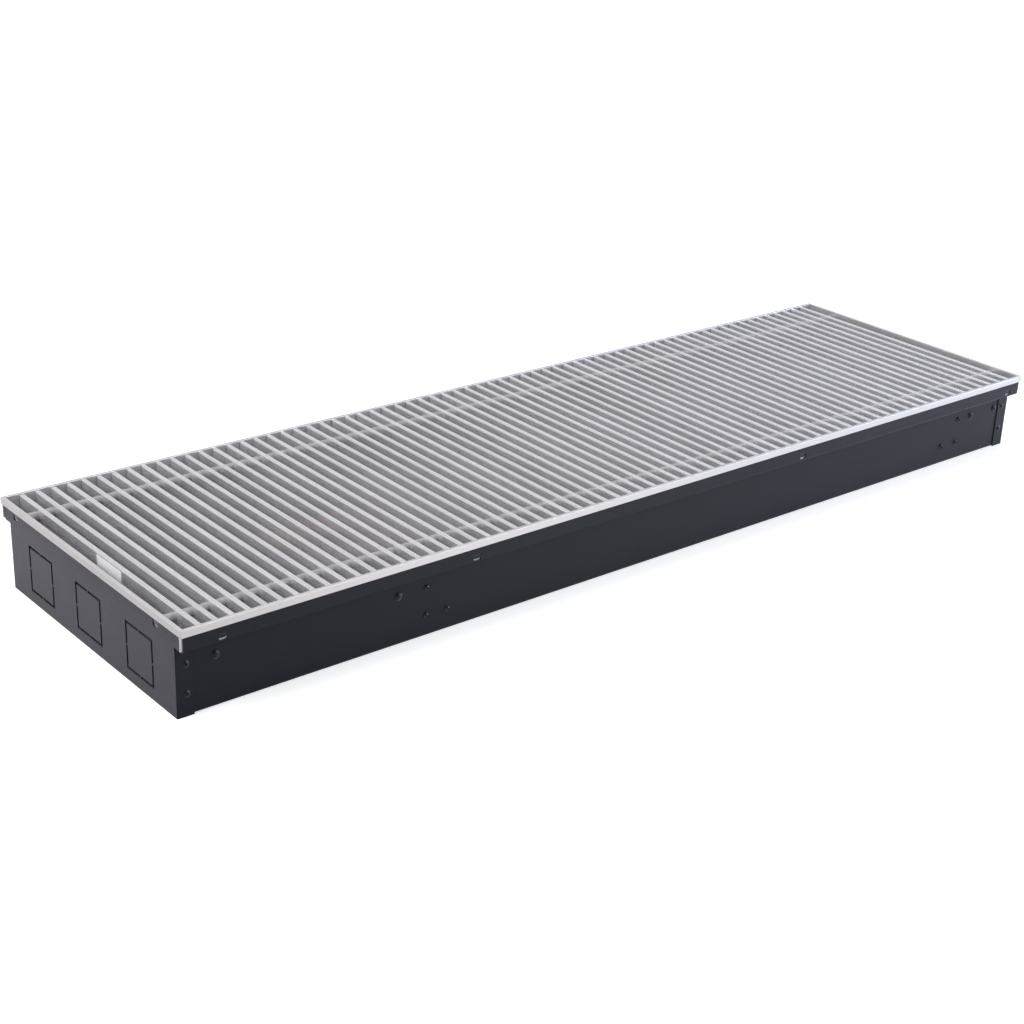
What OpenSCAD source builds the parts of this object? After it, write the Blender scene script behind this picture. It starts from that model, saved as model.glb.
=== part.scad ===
// Trench convector heater: a sheet steel floor trough with an aluminium rim,
// a roll-up grille of cross slats and a finned copper heat exchanger inside.
// Origin: centre of the footprint, on the surface that the trough stands on.
// +X runs along the trench, away from the connection end. +Z is up. Millimetres.

/* [Overall] */
// Length over the aluminium rim
rim_l = 1004; // [900:1:2400]
// Width over the aluminium rim
rim_w = 300; // [270:1:420]
// Height from the floor to the top of the rim
rim_h = 80; // [78:1:140]

/* [Trough] */
// Thickness of the trough and end panel sheet
sheet_t = 1; // [0.8:0.1:1.2]
// Inner radius of the trough's bends
bend_r = 1; // [0.6:0.1:1.2]
// Height of the stepped-out lip, from the rim top down to its underside
lip_h = 20.5; // [20:0.5:24]
// How far the lips stand out beyond the side flanges of the end panels
lip_step = 11.2; // [10:0.1:16]
// Distance between the floor fixing holes along the trench
anchor_dx = 860; // [700:1:870]
// Distance between the floor fixing holes across the trench
anchor_dy = 180; // [150:1:190]
// Diameter of the floor fixing holes
anchor_d = 8.5; // [6:0.1:10]

/* [Rim frame] */
// Thickness of the cap that covers the sheet edge
cap_t = 1.2; // [1:0.1:1.6]
// Height of the cap's outer wall
cap_h = 6; // [5:0.1:7]
// Thickness of the inner leg
leg_t = 1; // [0.8:0.1:1.4]
// Gap between the inner leg and the step that carries the grille
leg_gap = 1.5; // [1:0.1:1.8]
// Play between the rim and the sheet that it grips
rim_play = 0.1; // [0.05:0.05:0.2]

/* [Retaining tongues] */
// Width of a punched tongue's opening
tongue_w = 8; // [6:0.1:9]
// Depth of its centre below the rim top on the long sides
tongue_z = 15; // [14:0.1:15]
// Depth of its centre below the rim top on the end panels
tongue_end_z = 11; // [10:0.1:13]
// Distance of the first front tongue from the left end of the rim
tongue_x1 = 36.3; // [25:0.1:60]
// Distance of the second tongue from the left end
tongue_x2 = 277.3; // [200:0.1:320]
// Distance of the third tongue from the right end
tongue_x3 = 334; // [250:0.1:380]
// Distance of the fourth tongue from the right end
tongue_x4 = 19.4; // [15:0.1:60]
// Offset of the end panel's front tongue from the centre line
tongue_y1 = 109.5; // [80:0.1:115]
// Offset of the end panel's back tongue from the centre line
tongue_y2 = 125; // [118:0.1:128]

/* [End panels] */
// Length of the side flanges that wrap the trough
flange_l = 15; // [13.5:0.5:18]
// Side of a square knock-out
knock_s = 40; // [30:1:44]
// Distance between the knock-out centres
knock_pitch = 82.3; // [60:0.1:84]
// Depth of the knock-out centres below the rim top
knock_z = 48.5; // [46:0.5:52]
// Width of the cut round a knock-out
knock_cut = 2.4; // [0.8:0.1:2.8]
// Width of the bridges that hold a knock-out
knock_bridge = 1.2; // [1:0.1:3]
// Distance of the corner rivets from the end of the rim
end_rivet_x = 10.2; // [8:0.1:10.6]

/* [Grille] */
// Width of a slat
slat_w = 4.8; // [4:0.1:8]
// Distance from one slat to the next
slat_pitch = 14.45; // [12:0.05:20]
// Depth of the slat tops below the rim top
slat_sink = 1; // [0.5:0.1:2]
// Gap between the grille and the rim
grille_gap = 0.4; // [0.3:0.1:1]
// Thickness of the rubber strips under the slat ends
seal_t = 1; // [0.8:0.1:2]
// Width of the rubber strips
seal_w = 8; // [5:0.5:9]
// Distance of each rod from the outer edge of the rim
rod_inset = 37; // [30:0.5:60]
// Diameter of a rod
rod_d = 4; // [3:0.1:5]
// Depth of the rods below the slat tops
rod_z = 6.5; // [5:0.1:9]
// Diameter of the spacer sleeves
spacer_d = 7.6; // [6:0.1:9]
// Length of the blank label on the first slat
label_l = 40; // [20:1:60]
// Height of the blank label
label_h = 9.6; // [6:0.1:12]

/* [Heat exchanger] */
// Distance from the left end of the rim to the left bracket's web
exch_left = 262; // [250:1:320]
// Distance from the right end of the rim to the right bracket's web
exch_right = 111; // [108:1:150]
// Thickness of the bracket sheet
bracket_t = 1.2; // [1:0.1:2]
// Width of the fins
fin_w = 130; // [110:1:150]
// Height of the fins
fin_h = 50; // [44:1:50]
// Distance from one fin to the next
fin_pitch = 4.5; // [4:0.1:8]
// Thickness of a fin
fin_t = 0.4; // [0.3:0.05:0.6]
// Diameter of the tubes
tube_d = 15; // [12:0.1:16]
// Wall of the tubes
tube_wall = 1; // [0.8:0.1:1.2]
// Distance between the flow and the return tube
tube_dy = 60; // [54:1:70]
// Depth of the tubes below the rim top
tube_depth = 49; // [48:0.5:51]
// Radius of the female connection thread
thread_r = 9.3; // [8:0.1:9.5]
// Length of the female connection thread
thread_l = 14; // [12:1:15]

/* [Levelling] */
// Distance of the left levelling brackets from the left end of the rim
level_left = 36; // [34:0.5:60]
// Distance of the right levelling brackets from the right end of the rim
level_right = 22.6; // [22.5:0.1:40]
// Diameter of the levelling screws
level_d = 8; // [6:0.1:8.5]
// Diameter of the pads under the screws
pad_d = 12.4; // [10:0.1:14]

/* [Fasteners] */
// Depth of the upper row of screws and rivets below the rim top
upper_depth = 35.5; // [34:0.5:38]
// Depth of the lower row below the rim top
lower_depth = 60.7; // [58:0.1:62]
// Shank diameter of the blind rivets
rivet_d = 3; // [2.4:0.1:3.6]
// Shank diameter of the bracket screws
screw_d = 3.5; // [3:0.1:4]
// Head diameter of the bracket screws
screw_head_d = 5.5; // [5:0.1:6.5]
// Head diameter of the dome rivets
dome_d = 8; // [7:0.1:9]

/* [Hidden] */
$fn = 48;

// Finishes
paint_black = [0.06, 0.06, 0.07];
silver_anodised = [0.80, 0.79, 0.80];
slat_anodised = [0.78, 0.77, 0.79];
spacer_grey = [0.66, 0.66, 0.67];
rubber_black = [0.05, 0.05, 0.05];
label_white = [0.92, 0.93, 0.95];
fin_silver = [0.82, 0.83, 0.85];
copper = [0.72, 0.43, 0.29];
brass = [0.75, 0.62, 0.33];
zinc = [0.70, 0.71, 0.73];
nylon_black = [0.10, 0.10, 0.11];

// Small allowances shared by the pieces
eps = 0.02;
shaft_play = 0.05;
hole_play = 0.1;

// Rim frame, measured from the centre lines
half_l = rim_l / 2;
half_w = rim_w / 2;
rail_w = cap_t + sheet_t + 2 * rim_play + leg_t;
sheet_top = rim_h - cap_t;
rail_in_x = half_l - rail_w;
rail_in_y = half_w - rail_w;
rail_round = 0.5;
mitre_gap = 0.05;
leg_end_gap = 0.2;

// Trough: side walls, base, lips and the step between wall and lip
lip_out = half_w - cap_t - rim_play;
panel_out = half_l - cap_t - rim_play;
panel_in = panel_out - sheet_t;
wall_out = lip_out - lip_step - sheet_t;
wall_in = wall_out - sheet_t;
floor_z = sheet_t;
step_z = rim_h - lip_h;
step_top = step_z + sheet_t;
leg_z = step_top + leg_gap;
bend_out = bend_r + sheet_t;

// End panels
ear_side_gap = 0.2;
ear_rise = 0.5;
ear_half = rail_in_y - ear_side_gap;
ear_z = step_top + ear_rise;
ear_round = 2;
flange_top_gap = 0.2;
flange_top = step_z - bend_r - flange_top_gap;

// Tabs that the base turns up inside the end panels, low enough to clear the knock-outs
tab_clear = 1.6;
tab_relief = 1;
tab_top = rim_h - knock_z - (knock_s + knock_cut) / 2 - tab_clear;
tab_half = wall_in - 2 * bend_out;

// Punched tongues
tongue_drop = 5.8;
tongue_round = 2.2;
tongue_gap = 1.4;
tongue_side = 0.4;
tongue_angle = 17;
tongue_fold = 0.3;
tongue_t = 0.94 * sheet_t;
window_side = 0.2;
window_below = 0.35;

// Grille
slat_l = 2 * (rail_in_y - grille_gap);
slat_top = rim_h - slat_sink;
slat_z = step_top + seal_t;
slat_h = slat_top - slat_z;
slat_count = floor((2 * rail_in_x - 2 * slat_w) / slat_pitch);
first_slat = -(slat_count - 1) * slat_pitch / 2;
first_slat_face = -first_slat + slat_w / 2;
slat_round = 0.9;
rod_axis_z = slat_top - rod_z;
cap_x0 = first_slat_face + shaft_play;
cap_x1 = rail_in_x - grille_gap;
rod_y = half_w - rod_inset;
rod_short = 3;
rod_half = cap_x1 - rod_short;
label_t = 0.2;
label_y = -11.2;
label_sink = 1.9;
seal_side = 0.6;

// Heat exchanger
web_left = -half_l + exch_left;
web_right = half_l - exch_right;
tube_z = rim_h - tube_depth;
fin_clear = 4;
fin_x0 = web_left + bracket_t + fin_clear;
fin_x1 = web_right - bracket_t - fin_clear;
fin_count = floor((fin_x1 - fin_x0 - fin_t) / fin_pitch) + 1;
tube_r = tube_d / 2;
collar_t = 0.5;
collar_r = tube_r + shaft_play + collar_t;

// Screw and rivet places on the long sides: heights, and distances outwards from the bracket webs
upper_z = rim_h - upper_depth;
lower_z = rim_h - lower_depth;
screw_near = 5.6;
screw_far_left = 27.5;
dome_left = 55.8;
screw_far_right = 29;
dome_right = 49.5;
bracket_edge = 7.5;
dome_edge_left = 6.2;
dome_edge_right = 6.5;
reach_left = dome_left + dome_edge_left;
reach_right = dome_right + dome_edge_right;

// Connection unions, bleed valve and return bend
union_rim = 4.2;
union_hex = 2 * (thread_r + union_rim);
union_hex_l = 16;
union_chamfer = 1.5;
union_wall = 3.5;
union_body_r = tube_r + union_wall;
union_body_l = 16;
union_grip = 8;
union_way_r = 6;
union_gap = 6;
union_x = web_left - reach_left - union_gap;
tube_left_x = union_x - union_grip;
boss_r = 6.5;
boss_rise = 1;
boss_h = union_hex / 2 + boss_rise;
boss_top = tube_z + boss_h;
bleed_stub_r = 4;
bleed_x = tube_left_x - bleed_stub_r;
bleed_stub_l = 6;
bleed_way_r = 1;
bleed_hex = 11;
bleed_hex_l = 6;
bleed_pin_r = 2.5;
bleed_pin_l = 8;
bleed_head_r = 4;
bleed_head_l = 3.4;
bend_gap = 9;
bend_x = web_right + bend_gap;
socket_l = 7;
socket_t = 0.9;
butt_gap = 0.2;
grommet_t = 1.5;
grommet_wall = 3;
grommet_lip = 2;

// Levelling gear
level_xs = [-half_l + level_left, half_l - level_right];
level_inset = 16;
level_y = wall_in - level_inset;
level_t = 2;
level_plate_drop = 16.5;
level_plate_z = upper_z - level_plate_drop;
level_plate_w = 18;
level_plate_l = 27;
level_plate_below = 3.5;
level_plate_top = step_z - level_plate_below;
nut_h = 6.5;
nut_wider = 5;
nut_af = level_d + nut_wider;
pad_z = 0.6;
pad_h = 5;
pad_hole_play = 0.5;
tip_shoulder = 1.5;
tip_r = level_d / 2 - tip_shoulder;
tip_l = 3;
level_screw_below = 1.5;
level_screw_top = step_z - level_screw_below;
level_slot_w = 1.4;
level_slot_h = 2;

// Fastener heads
screw_head_h = 2.2;
screw_tail = 3;
cross_w = 0.9;
cross_depth = 1.1;
dome_h = 2.2;
rivet_head_h = 1.2;
mandrel_r = 0.7;
tail_h = 1.6;
tail_d = 1.6 * rivet_d;
blind_head_d = 2 * rivet_d;

module along_x(len) {
    translate([-len / 2, 0, 0]) rotate([90, 0, 90]) linear_extrude(height = len) children();
}

module along_y(len) {
    translate([0, len / 2, 0]) rotate([90, 0, 0]) linear_extrude(height = len) children();
}

module strip(x0, y0, x1, y1) {
    translate([x0, y0]) square([x1 - x0, y1 - y0]);
}

// A quarter ring in the first quadrant, for a sheet bend
module quarter_ring(outer, inner) {
    intersection() {
        difference() {
            circle(r = outer);
            if (inner > 0) circle(r = inner);
        }
        square(outer + eps);
    }
}

// Makes what is drawn for the front long side on the back as well
module both_sides() {
    children();
    mirror([0, 1, 0]) children();
}

module both_ends() {
    children();
    mirror([1, 0, 0]) children();
}

// Half of the trough's cross-section: base, wall, step and lip
module trough_half_section() {
    strip(-eps, 0, wall_out - bend_out + eps, floor_z);
    translate([wall_out - bend_out, bend_out]) rotate(-90) quarter_ring(bend_out, bend_r);
    strip(wall_in, bend_out - eps, wall_out, step_z - bend_r + eps);
    translate([wall_out + bend_r, step_z - bend_r]) rotate(90) quarter_ring(bend_out, bend_r);
    strip(wall_out + bend_r - eps, step_z, lip_out - bend_out + eps, step_top);
    translate([lip_out - bend_out, step_z + bend_out]) rotate(-90) quarter_ring(bend_out, bend_r);
    strip(lip_out - sheet_t, step_z + bend_out - eps, lip_out, sheet_top);
}

// Outline of a punched tongue that hangs down from its fold at the origin
module tongue_outline(w, drop) {
    strip(-w / 2, -drop + tongue_round, w / 2, 0);
    strip(-w / 2 + tongue_round, -drop, w / 2 - tongue_round, 0);
    for (side = [-1, 1]) translate([side * (w / 2 - tongue_round), -drop + tongue_round])
        circle(r = tongue_round);
}

// The opening of a tongue in a sheet whose outer face lies at Y 0 and looks along -Y
module tongue_opening() {
    translate([0, sheet_t + 0.5, tongue_drop / 2]) rotate([90, 0, 0])
        linear_extrude(height = sheet_t + 1) tongue_outline(tongue_w, tongue_drop);
}

// The tongue itself, pressed in behind the sheet
module tongue_blade() {
    translate([0, sheet_t, tongue_drop / 2]) rotate([90 + tongue_angle, 0, 0])
        linear_extrude(height = tongue_t) {
            tongue_outline(tongue_w - 2 * tongue_side, tongue_drop - tongue_gap);
            strip(-tongue_w / 2 + tongue_side, -eps, tongue_w / 2 - tongue_side, tongue_fold);
        }
}

// The window in the rim's leg that a tongue presses into
module tongue_window() {
    low = -tongue_drop / 2 + tongue_gap - window_below;
    high = tongue_drop / 2 + window_side;
    translate([-tongue_w / 2 + window_side, 0, low])
        cube([tongue_w - 2 * window_side, sheet_t + rim_play + leg_t + 1, high - low]);
}

module at_side_tongues() {
    for (x = [-half_l + tongue_x1, -half_l + tongue_x2, half_l - tongue_x3, half_l - tongue_x4])
        translate([x, -lip_out, rim_h - tongue_z]) children();
}

module at_end_tongues() {
    for (y = [-tongue_y1, tongue_y2])
        translate([-panel_out, y, rim_h - tongue_end_z]) rotate([0, 0, -90]) children();
}

// Stands something on the outer face of the front wall, with its +Z looking out of the wall
module on_front(x, z, y = wall_out) {
    translate([x, -y, z]) rotate([90, 0, 0]) children();
}

module at_bracket_screws() {
    on_front(web_left - screw_near, lower_z) children();
    on_front(web_left - screw_far_left, lower_z) children();
    on_front(web_left - screw_far_left, upper_z) children();
    on_front(web_right + screw_near, lower_z) children();
    on_front(web_right + screw_far_right, lower_z) children();
    on_front(web_right + screw_far_right, upper_z) children();
}

module at_bracket_rivets() {
    for (x = [web_left - dome_left, web_right + dome_right]) on_front(x, upper_z) children();
}

module at_level_rivets() {
    for (x = level_xs) on_front(x, upper_z) children();
}

module at_end_rivets() {
    for (side = [-1, 1], z = [upper_z, lower_z])
        on_front(side * (half_l - end_rivet_x), z, wall_out + sheet_t) children();
}

// A hole through the sheets behind a fastener
module fastener_hole(d, depth) {
    translate([0, 0, -depth - 1]) cylinder(d = d + 2 * hole_play, h = depth + 2);
}

// Holes in the base for the pads on the front side
module pad_holes() {
    for (x = level_xs) translate([x, -level_y, -1]) cylinder(d = pad_d + 2 * pad_hole_play, h = floor_z + 2);
}

module trough_shell() {
    color(paint_black) union() {
        difference() {
            along_x(2 * panel_in) {
                trough_half_section();
                mirror([1, 0]) trough_half_section();
            }
            both_sides() {
                at_side_tongues() tongue_opening();
                at_bracket_screws() fastener_hole(screw_d, sheet_t);
                at_bracket_rivets() fastener_hole(rivet_d, sheet_t);
                at_level_rivets() fastener_hole(rivet_d, sheet_t);
                at_end_rivets() fastener_hole(rivet_d, 2 * sheet_t);
            }
            for (side_x = [-1, 1], side_y = [-1, 1])
                translate([side_x * anchor_dx / 2, side_y * anchor_dy / 2, 0])
                    cylinder(d = anchor_d, h = floor_z + 1);
            both_sides() pad_holes();
            both_ends() translate([-panel_in - 1, -tab_half - tab_relief, -1])
                cube([bend_out + 1, 2 * (tab_half + tab_relief), floor_z + 2]);
        }
        both_sides() at_side_tongues() tongue_blade();
        both_ends() end_tab();
    }
}

// The base's turned-up end, behind the left end panel
module end_tab() {
    translate([-panel_in + bend_out, 0, bend_out]) along_y(2 * tab_half) rotate(180)
        quarter_ring(bend_out, bend_r);
    translate([-panel_in, -tab_half, bend_out - eps]) cube([sheet_t, 2 * tab_half, tab_top - bend_out + eps]);
    translate([-panel_in + bend_out - eps, -tab_half, 0]) cube([2 * eps, 2 * tab_half, sheet_t]);
}

// Outline of an end panel's plate: narrow between the flanges, with ears behind the rim
module panel_outline() {
    strip(-wall_out, 0, wall_out, sheet_top);
    strip(-ear_half + ear_round, ear_z, ear_half - ear_round, sheet_top);
    strip(-ear_half, ear_z + ear_round, ear_half, sheet_top);
    for (side = [-1, 1]) translate([side * (ear_half - ear_round), ear_z + ear_round]) circle(r = ear_round);
}

// The cut round a square knock-out, left open at four bridges
module knock_out_cut() {
    difference() {
        square(knock_s + knock_cut, center = true);
        square(knock_s - knock_cut, center = true);
        square([knock_bridge, 2 * knock_s], center = true);
        square([2 * knock_s, knock_bridge], center = true);
    }
}

// An end panel at the left end
module end_panel(knock_outs) {
    difference() {
        union() {
            difference() {
                translate([-panel_out, 0, 0]) rotate([90, 0, 90])
                    linear_extrude(height = sheet_t) panel_outline();
                at_end_tongues() tongue_opening();
            }
            at_end_tongues() tongue_blade();
            both_sides() {
                translate([-panel_in, -wall_out, 0]) linear_extrude(height = flange_top)
                    rotate(180) quarter_ring(sheet_t, 0);
                translate([-panel_in - eps, -wall_out - sheet_t, 0])
                    cube([flange_l - sheet_t, sheet_t, flange_top]);
            }
        }
        both_sides() at_end_rivets() fastener_hole(rivet_d, 2 * sheet_t);
        if (knock_outs)
            for (y = [-knock_pitch, 0, knock_pitch])
                translate([-panel_out - 1, y, rim_h - knock_z]) rotate([90, 0, 90])
                    linear_extrude(height = sheet_t + 2) knock_out_cut();
    }
}

module end_panel_left() {
    color(paint_black) end_panel(true);
}

module end_panel_right() {
    color(paint_black) mirror([1, 0, 0]) end_panel(false);
}

// Section of the rim's cap, drawn inwards from its outer face
module rail_cap_section() {
    strip(0, rim_h - cap_h, cap_t, rim_h - rail_round);
    strip(rail_round, sheet_top, rail_w - rail_round, rim_h);
    strip(rail_w - leg_t, rim_h - cap_h - eps, rail_w, rim_h - rail_round);
    strip(cap_t - eps, sheet_top, rail_w - leg_t + eps, rim_h - rail_round);
    for (u = [rail_round, rail_w - rail_round]) translate([u, rim_h - rail_round]) circle(r = rail_round);
}

module rail_leg_section() {
    strip(rail_w - leg_t, leg_z, rail_w, rim_h - cap_h);
}

// Plan of one mitred side of the rim, of a given half length, drawn inwards from its outer edge
module mitre_plan(half) {
    reach = 2 * rail_w;
    polygon([
        [-half + mitre_gap, 0], [half - mitre_gap, 0],
        [half - reach - mitre_gap, reach], [-half + reach + mitre_gap, reach]
    ]);
}

module frame_rail_long() {
    color(silver_anodised) difference() {
        union() {
            intersection() {
                along_x(rim_l) translate([-half_w, 0]) rail_cap_section();
                translate([0, -half_w, 0]) linear_extrude(height = rim_h + 1) mitre_plan(half_l);
            }
            along_x(rim_l - 2 * leg_end_gap) translate([-half_w, 0]) rail_leg_section();
        }
        at_side_tongues() tongue_window();
    }
}

module frame_rail_short() {
    color(silver_anodised) difference() {
        union() {
            intersection() {
                along_y(rim_w) translate([-half_l, 0]) rail_cap_section();
                union() {
                    translate([-half_l, 0, sheet_top]) rotate([0, 0, -90])
                        linear_extrude(height = rim_h) mitre_plan(half_w);
                    translate([-half_l, 0, 0]) rotate([0, 0, -90])
                        linear_extrude(height = sheet_top + eps) short_rail_plan();
                }
            }
            along_y(2 * (rail_in_y - mitre_gap)) translate([-half_l, 0]) rail_leg_section();
        }
        at_end_tongues() tongue_window();
    }
}

// Plan of the short rail below its top: the cap wall runs to the mitre, and the leg stops at the long legs
module short_rail_plan() {
    intersection() {
        mitre_plan(half_w);
        strip(-half_w, 0, half_w, cap_t + eps);
    }
    strip(-rail_in_y + mitre_gap, cap_t, rail_in_y - mitre_gap, rail_w);
}

module frame_rail_front() {
    frame_rail_long();
}

module frame_rail_back() {
    mirror([0, 1, 0]) frame_rail_long();
}

module frame_rail_left() {
    frame_rail_short();
}

module frame_rail_right() {
    mirror([1, 0, 0]) frame_rail_short();
}

// Rubber strip that lies on the step and carries the slat ends
module seal_strip_front() {
    color(rubber_black) along_x(2 * (rail_in_x - seal_side))
        translate([-rail_in_y + seal_side, step_top]) square([seal_w, seal_t]);
}

module seal_strip_back() {
    mirror([0, 1, 0]) seal_strip_front();
}

module slat_section() {
    half = slat_w / 2;
    strip(-half, slat_z, half, slat_top - slat_round);
    strip(-half + slat_round, slat_z, half - slat_round, slat_top);
    for (side = [-1, 1]) translate([side * (half - slat_round), slat_top - slat_round])
        circle(r = slat_round);
}

module at_rods() {
    for (side = [-1, 1]) translate([0, side * rod_y, rod_axis_z]) rotate([0, 90, 0]) children();
}

module grille_slats() {
    color(slat_anodised) for (i = [0 : slat_count - 1]) difference() {
        translate([first_slat + i * slat_pitch, 0, 0]) along_y(slat_l) slat_section();
        translate([first_slat + i * slat_pitch, 0, 0])
            at_rods() cylinder(d = rod_d + 2 * hole_play, h = slat_w + 2, center = true);
    }
}

module grille_rod(side) {
    color(zinc) translate([0, side * rod_y, rod_axis_z]) rotate([0, 90, 0])
        cylinder(d = rod_d, h = 2 * rod_half, center = true);
}

module grille_rod_front() {
    grille_rod(-1);
}

module grille_rod_back() {
    grille_rod(1);
}

module grille_spacers(side) {
    color(spacer_grey) for (i = [1 : slat_count - 1])
        translate([first_slat + (i - 0.5) * slat_pitch, side * rod_y, rod_axis_z]) rotate([0, 90, 0])
            difference() {
                cylinder(d = spacer_d, h = slat_pitch - slat_w - 2 * shaft_play, center = true);
                cylinder(d = rod_d + 2 * hole_play, h = slat_pitch, center = true);
            }
}

module grille_spacers_front() {
    grille_spacers(-1);
}

module grille_spacers_back() {
    grille_spacers(1);
}

// Caps that close the four rod ends and keep the first and last slat off the rim
module grille_rod_caps() {
    color(spacer_grey) both_ends() at_rods() difference() {
        translate([0, 0, cap_x0]) cylinder(d = spacer_d, h = cap_x1 - cap_x0);
        translate([0, 0, cap_x0 - 1])
            cylinder(d = rod_d + 2 * hole_play, h = rod_half + hole_play - cap_x0 + 1);
    }
}

module slat_label() {
    color(label_white)
        translate([-first_slat_face - label_t, label_y - label_l / 2, slat_top - label_sink - label_h])
            cube([label_t, label_l, label_h]);
}

module at_tubes() {
    for (side = [-1, 1]) translate([0, side * tube_dy / 2, tube_z]) rotate([0, 90, 0]) children();
}

// Fins with the drawn collars that space them along the tubes
module exchanger_fins() {
    color(fin_silver) difference() {
        union() {
            for (i = [0 : fin_count - 1])
                translate([fin_x0 + i * fin_pitch, -fin_w / 2, tube_z - fin_h / 2])
                    cube([fin_t, fin_w, fin_h]);
            at_tubes() translate([0, 0, fin_x0])
                cylinder(r = collar_r, h = (fin_count - 1) * fin_pitch + fin_t);
        }
        at_tubes() translate([0, 0, fin_x0 - 1])
            cylinder(r = tube_r + shaft_play, h = fin_x1 - fin_x0 + fin_pitch);
    }
}

// Plan of a saddle bracket's half: the web across the trough and one flange along the wall, towards -X
module bracket_half_plan(reach) {
    outer = 2 * bracket_t;
    strip(0, -wall_in + outer - eps, bracket_t, eps);
    translate([bracket_t - outer, -wall_in + outer]) rotate(-90) quarter_ring(outer, bracket_t);
    strip(-reach, -wall_in, bracket_t - outer + eps, -wall_in + bracket_t);
}

module exchanger_bracket(reach) {
    difference() {
        translate([0, 0, lower_z - bracket_edge])
            linear_extrude(height = upper_z - lower_z + 2 * bracket_edge) {
                bracket_half_plan(reach);
                mirror([0, 1]) bracket_half_plan(reach);
            }
        at_tubes() translate([0, 0, -1]) cylinder(r = tube_r + grommet_wall, h = bracket_t + 2);
    }
}

module exchanger_bracket_left() {
    color(zinc) difference() {
        translate([web_left, 0, 0]) exchanger_bracket(reach_left);
        both_sides() {
            at_bracket_screws() fastener_hole(screw_d, sheet_t + bracket_t);
            at_bracket_rivets() fastener_hole(rivet_d, sheet_t + bracket_t);
        }
    }
}

module exchanger_bracket_right() {
    color(zinc) difference() {
        translate([web_right, 0, 0]) mirror([1, 0, 0]) exchanger_bracket(reach_right);
        both_sides() {
            at_bracket_screws() fastener_hole(screw_d, sheet_t + bracket_t);
            at_bracket_rivets() fastener_hole(rivet_d, sheet_t + bracket_t);
        }
    }
}

module grommet() {
    neck_r = tube_r + grommet_wall - hole_play;
    translate([0, 0, -grommet_t]) difference() {
        union() {
            cylinder(r = neck_r, h = bracket_t + 2 * grommet_t);
            cylinder(r = neck_r + grommet_lip, h = grommet_t - hole_play);
            translate([0, 0, bracket_t + grommet_t + hole_play])
                cylinder(r = neck_r + grommet_lip, h = grommet_t - hole_play);
        }
        translate([0, 0, -1]) cylinder(r = tube_r + shaft_play, h = bracket_t + 2 * grommet_t + 2);
    }
}

module tube_grommets() {
    color(rubber_black) at_tubes() {
        translate([0, 0, web_left]) grommet();
        translate([0, 0, web_right - bracket_t]) grommet();
    }
}

module copper_tube(side) {
    tube_l = bend_x - tube_left_x - 2 * butt_gap;
    color(copper) translate([tube_left_x + butt_gap, side * tube_dy / 2, tube_z]) rotate([0, 90, 0])
        difference() {
            cylinder(r = tube_r, h = tube_l);
            translate([0, 0, -1]) cylinder(r = tube_r - tube_wall, h = tube_l + 2);
        }
}

module flow_tube() {
    copper_tube(-1);
}

module return_tube() {
    copper_tube(1);
}

// The bend that joins the two tubes, with sockets over their ends
module return_bend() {
    color(copper) {
        translate([bend_x, 0, tube_z]) rotate([0, 0, -90]) rotate_extrude(angle = 180)
            translate([tube_dy / 2, 0]) difference() {
                circle(r = tube_r);
                circle(r = tube_r - tube_wall);
            }
        at_tubes() translate([0, 0, bend_x - socket_l]) difference() {
            cylinder(r = tube_r + shaft_play + socket_t, h = socket_l + socket_t);
            translate([0, 0, -1]) cylinder(r = tube_r + shaft_play, h = socket_l + 1);
            cylinder(r = tube_r - tube_wall, h = socket_l + socket_t + 1);
        }
    }
}

// A union looks along -X: hexagon with the female thread, then the body that grips the tube
module connection_union(boss) {
    hex_r = union_hex / 2 / cos(30);
    translate([union_x, 0, tube_z]) rotate([0, -90, 0]) difference() {
        union() {
            cylinder(r = union_body_r, h = union_body_l + eps);
            translate([0, 0, union_body_l]) intersection() {
                rotate(30) cylinder(r = hex_r, h = union_hex_l, $fn = 6);
                union() {
                    cylinder(r1 = hex_r - union_chamfer, r2 = hex_r, h = union_chamfer);
                    translate([0, 0, union_chamfer]) cylinder(r = hex_r, h = union_hex_l - 2 * union_chamfer);
                    translate([0, 0, union_hex_l - union_chamfer])
                        cylinder(r1 = hex_r, r2 = hex_r - union_chamfer, h = union_chamfer);
                }
            }
            if (boss) translate([0, 0, union_x - bleed_x]) rotate([0, 90, 0])
                cylinder(r = boss_r, h = boss_h);
        }
        translate([0, 0, -1]) cylinder(r = tube_r + shaft_play, h = union_grip + 1);
        cylinder(r = union_way_r, h = union_body_l + union_hex_l);
        translate([0, 0, union_body_l + union_hex_l - thread_l]) cylinder(r = thread_r, h = thread_l + 1);
        if (boss) translate([0, 0, union_x - bleed_x]) rotate([0, 90, 0])
            cylinder(r = bleed_stub_r + shaft_play, h = boss_h + 1);
    }
}

module flow_union() {
    color(brass) translate([0, -tube_dy / 2, 0]) connection_union(true);
}

module return_union() {
    color(brass) translate([0, tube_dy / 2, 0]) connection_union(false);
}

module bleed_valve_body() {
    pin_z = boss_top + bleed_hex_l - bleed_pin_l;
    color(brass) translate([bleed_x, -tube_dy / 2, 0]) difference() {
        union() {
            translate([0, 0, boss_top - bleed_stub_l]) cylinder(r = bleed_stub_r, h = bleed_stub_l + eps);
            translate([0, 0, boss_top]) cylinder(r = bleed_hex / 2 / cos(30), h = bleed_hex_l, $fn = 6);
        }
        translate([0, 0, pin_z]) cylinder(r = bleed_pin_r + shaft_play, h = bleed_pin_l + 1);
        translate([0, 0, boss_top - bleed_stub_l - 1]) cylinder(r = bleed_way_r, h = bleed_stub_l);
    }
}

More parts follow.
